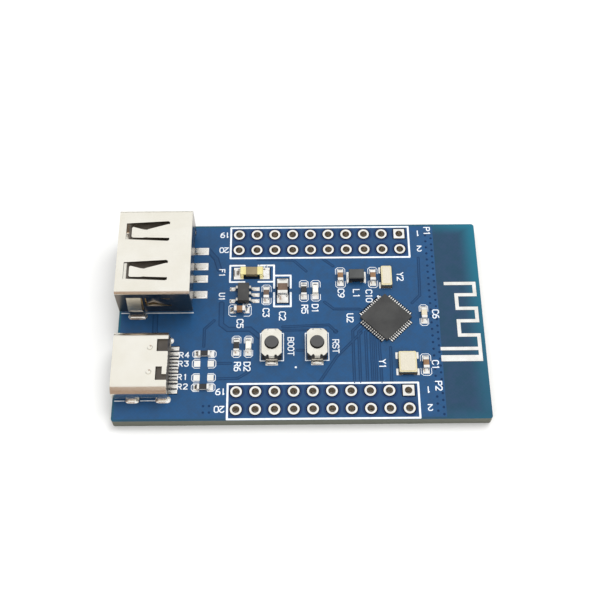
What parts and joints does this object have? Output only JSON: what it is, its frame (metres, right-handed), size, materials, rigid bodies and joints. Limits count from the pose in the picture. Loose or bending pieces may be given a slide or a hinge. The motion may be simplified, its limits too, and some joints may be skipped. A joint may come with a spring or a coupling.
{
  "type": "microcontroller dev board",
  "caption": "Small blue circuit board with a large and a small USB port, two push buttons, a diamond-set controller, pin header holes and a printed antenna.",
  "frame": {"origin": "centre of the board's underside", "axes": "+Z out of the component side, +X towards the antenna end, +Y towards the long edge beside the large USB port"},
  "size_m": [0.05, 0.03, 0.0079],
  "materials": {
    "glass_epoxy_board": "blue solder mask over woven glass-epoxy laminate, satin gloss",
    "tinned_copper": "hot-air levelled tin over copper, bright and slightly uneven",
    "nickel_plated_shell": "stamped steel sheet, satin nickel plate",
    "black_connector_plastic": "glass-filled moulding, matt",
    "gold_plated_contact": "stamped copper alloy, thin gold over nickel",
    "stainless_sheet": "rolled stainless spring sheet",
    "tinned_steel_frame": "stamped cover plate, satin plated",
    "black_switch_plastic": "black nylon moulding",
    "dark_grey_button": "dark grey moulded button, fine spark texture",
    "chip_epoxy": "filled epoxy moulding compound, fine matt grain",
    "tin_plated_leads": "matt tin plate",
    "kovar_lid": "gold-tinted plated lid, satin",
    "alumina_base": "pressed dark alumina, matt",
    "ferrite": "pressed ferrite, matt",
    "fuse_polymer": "brown polymer sheet under clear resin",
    "pale_gold_terminals": "gold flash over nickel on copper foil",
    "tan_capacitor_ceramic": "fired barium titanate, tan, matt",
    "pale_capacitor_ceramic": "fired ceramic, ivory, matt",
    "resistor_overglaze": "dark overglaze on alumina",
    "led_lens": "milky epoxy lens on a white chip board"
  },
  "bodies": {
    "board": {"antenna_trace": "tinned_copper", "board_core": "glass_epoxy_board", "boot_switch_base": "black_switch_plastic", "boot_switch_dome": "stainless_sheet", "boot_switch_frame": "tinned_steel_frame", "boot_switch_terminals": "tin_plated_leads", "capacitor_c10_body": "tan_capacitor_ceramic", "capacitor_c10_terminals": "tin_plated_leads", "capacitor_c1_body": "tan_capacitor_ceramic", "capacitor_c1_terminals": "tin_plated_leads", "capacitor_c2_body": "tan_capacitor_ceramic", "capacitor_c2_terminals": "tin_plated_leads", "capacitor_c3_body": "tan_capacitor_ceramic", "capacitor_c3_terminals": "tin_plated_leads", "capacitor_c5_body": "tan_capacitor_ceramic", "capacitor_c5_terminals": "tin_plated_leads", "capacitor_c6_body": "pale_capacitor_ceramic", "capacitor_c6_terminals": "tin_plated_leads", "capacitor_c9_body": "tan_capacitor_ceramic", "capacitor_c9_terminals": "tin_plated_leads", "clock_crystal_base": "alumina_base", "clock_crystal_lid": "kovar_lid", "component_pads": "tinned_copper", "fuse_body": "fuse_polymer", "fuse_terminals": "pale_gold_terminals", "header_pads": "tinned_copper", "inductor_body": "ferrite", "inductor_terminals": "tin_plated_leads", "led_d1_body": "led_lens", "led_d1_terminals": "tin_plated_leads", "led_d2_body": "led_lens", "led_d2_terminals": "tin_plated_leads", "main_crystal_base": "alumina_base", "main_crystal_lid": "kovar_lid", "mcu_lead_frame": "tin_plated_leads", "mcu_package": "chip_epoxy", "regulator_body": "chip_epoxy", "regulator_leads": "tin_plated_leads", "reset_switch_base": "black_switch_plastic", "reset_switch_dome": "stainless_sheet", "reset_switch_frame": "tinned_steel_frame", "reset_switch_terminals": "tin_plated_leads", "resistor_r2_body": "resistor_overglaze", "resistor_r2_terminals": "tin_plated_leads", "resistor_r4_body": "resistor_overglaze", "resistor_r4_terminals": "tin_plated_leads", "resistor_r5_body": "resistor_overglaze", "resistor_r5_terminals": "tin_plated_leads", "resistor_r6_body": "resistor_overglaze", "resistor_r6_terminals": "tin_plated_leads", "usb_a_contacts": "gold_plated_contact", "usb_a_insulator": "black_connector_plastic", "usb_a_shell": "nickel_plated_shell", "usb_c_contacts": "gold_plated_contact", "usb_c_insulator": "black_connector_plastic", "usb_c_mid_plate": "stainless_sheet", "usb_c_shell": "nickel_plated_shell"},
    "boot_button": {"boot_switch_plunger": "dark_grey_button"},
    "reset_button": {"reset_switch_plunger": "dark_grey_button"}
  },
  "joints": [
    {"name": "boot_button_press", "type": "slide", "parent": "board", "child": "boot_button", "axis": [0, 0, -1], "range_m": [0, 0.0002], "stiffness_N_per_m": 8000, "deforming": ["boot_switch_dome"]},
    {"name": "reset_button_press", "type": "slide", "parent": "board", "child": "reset_button", "axis": [0, 0, -1], "range_m": [0, 0.0002], "stiffness_N_per_m": 8000, "deforming": ["reset_switch_dome"]}
  ]
}
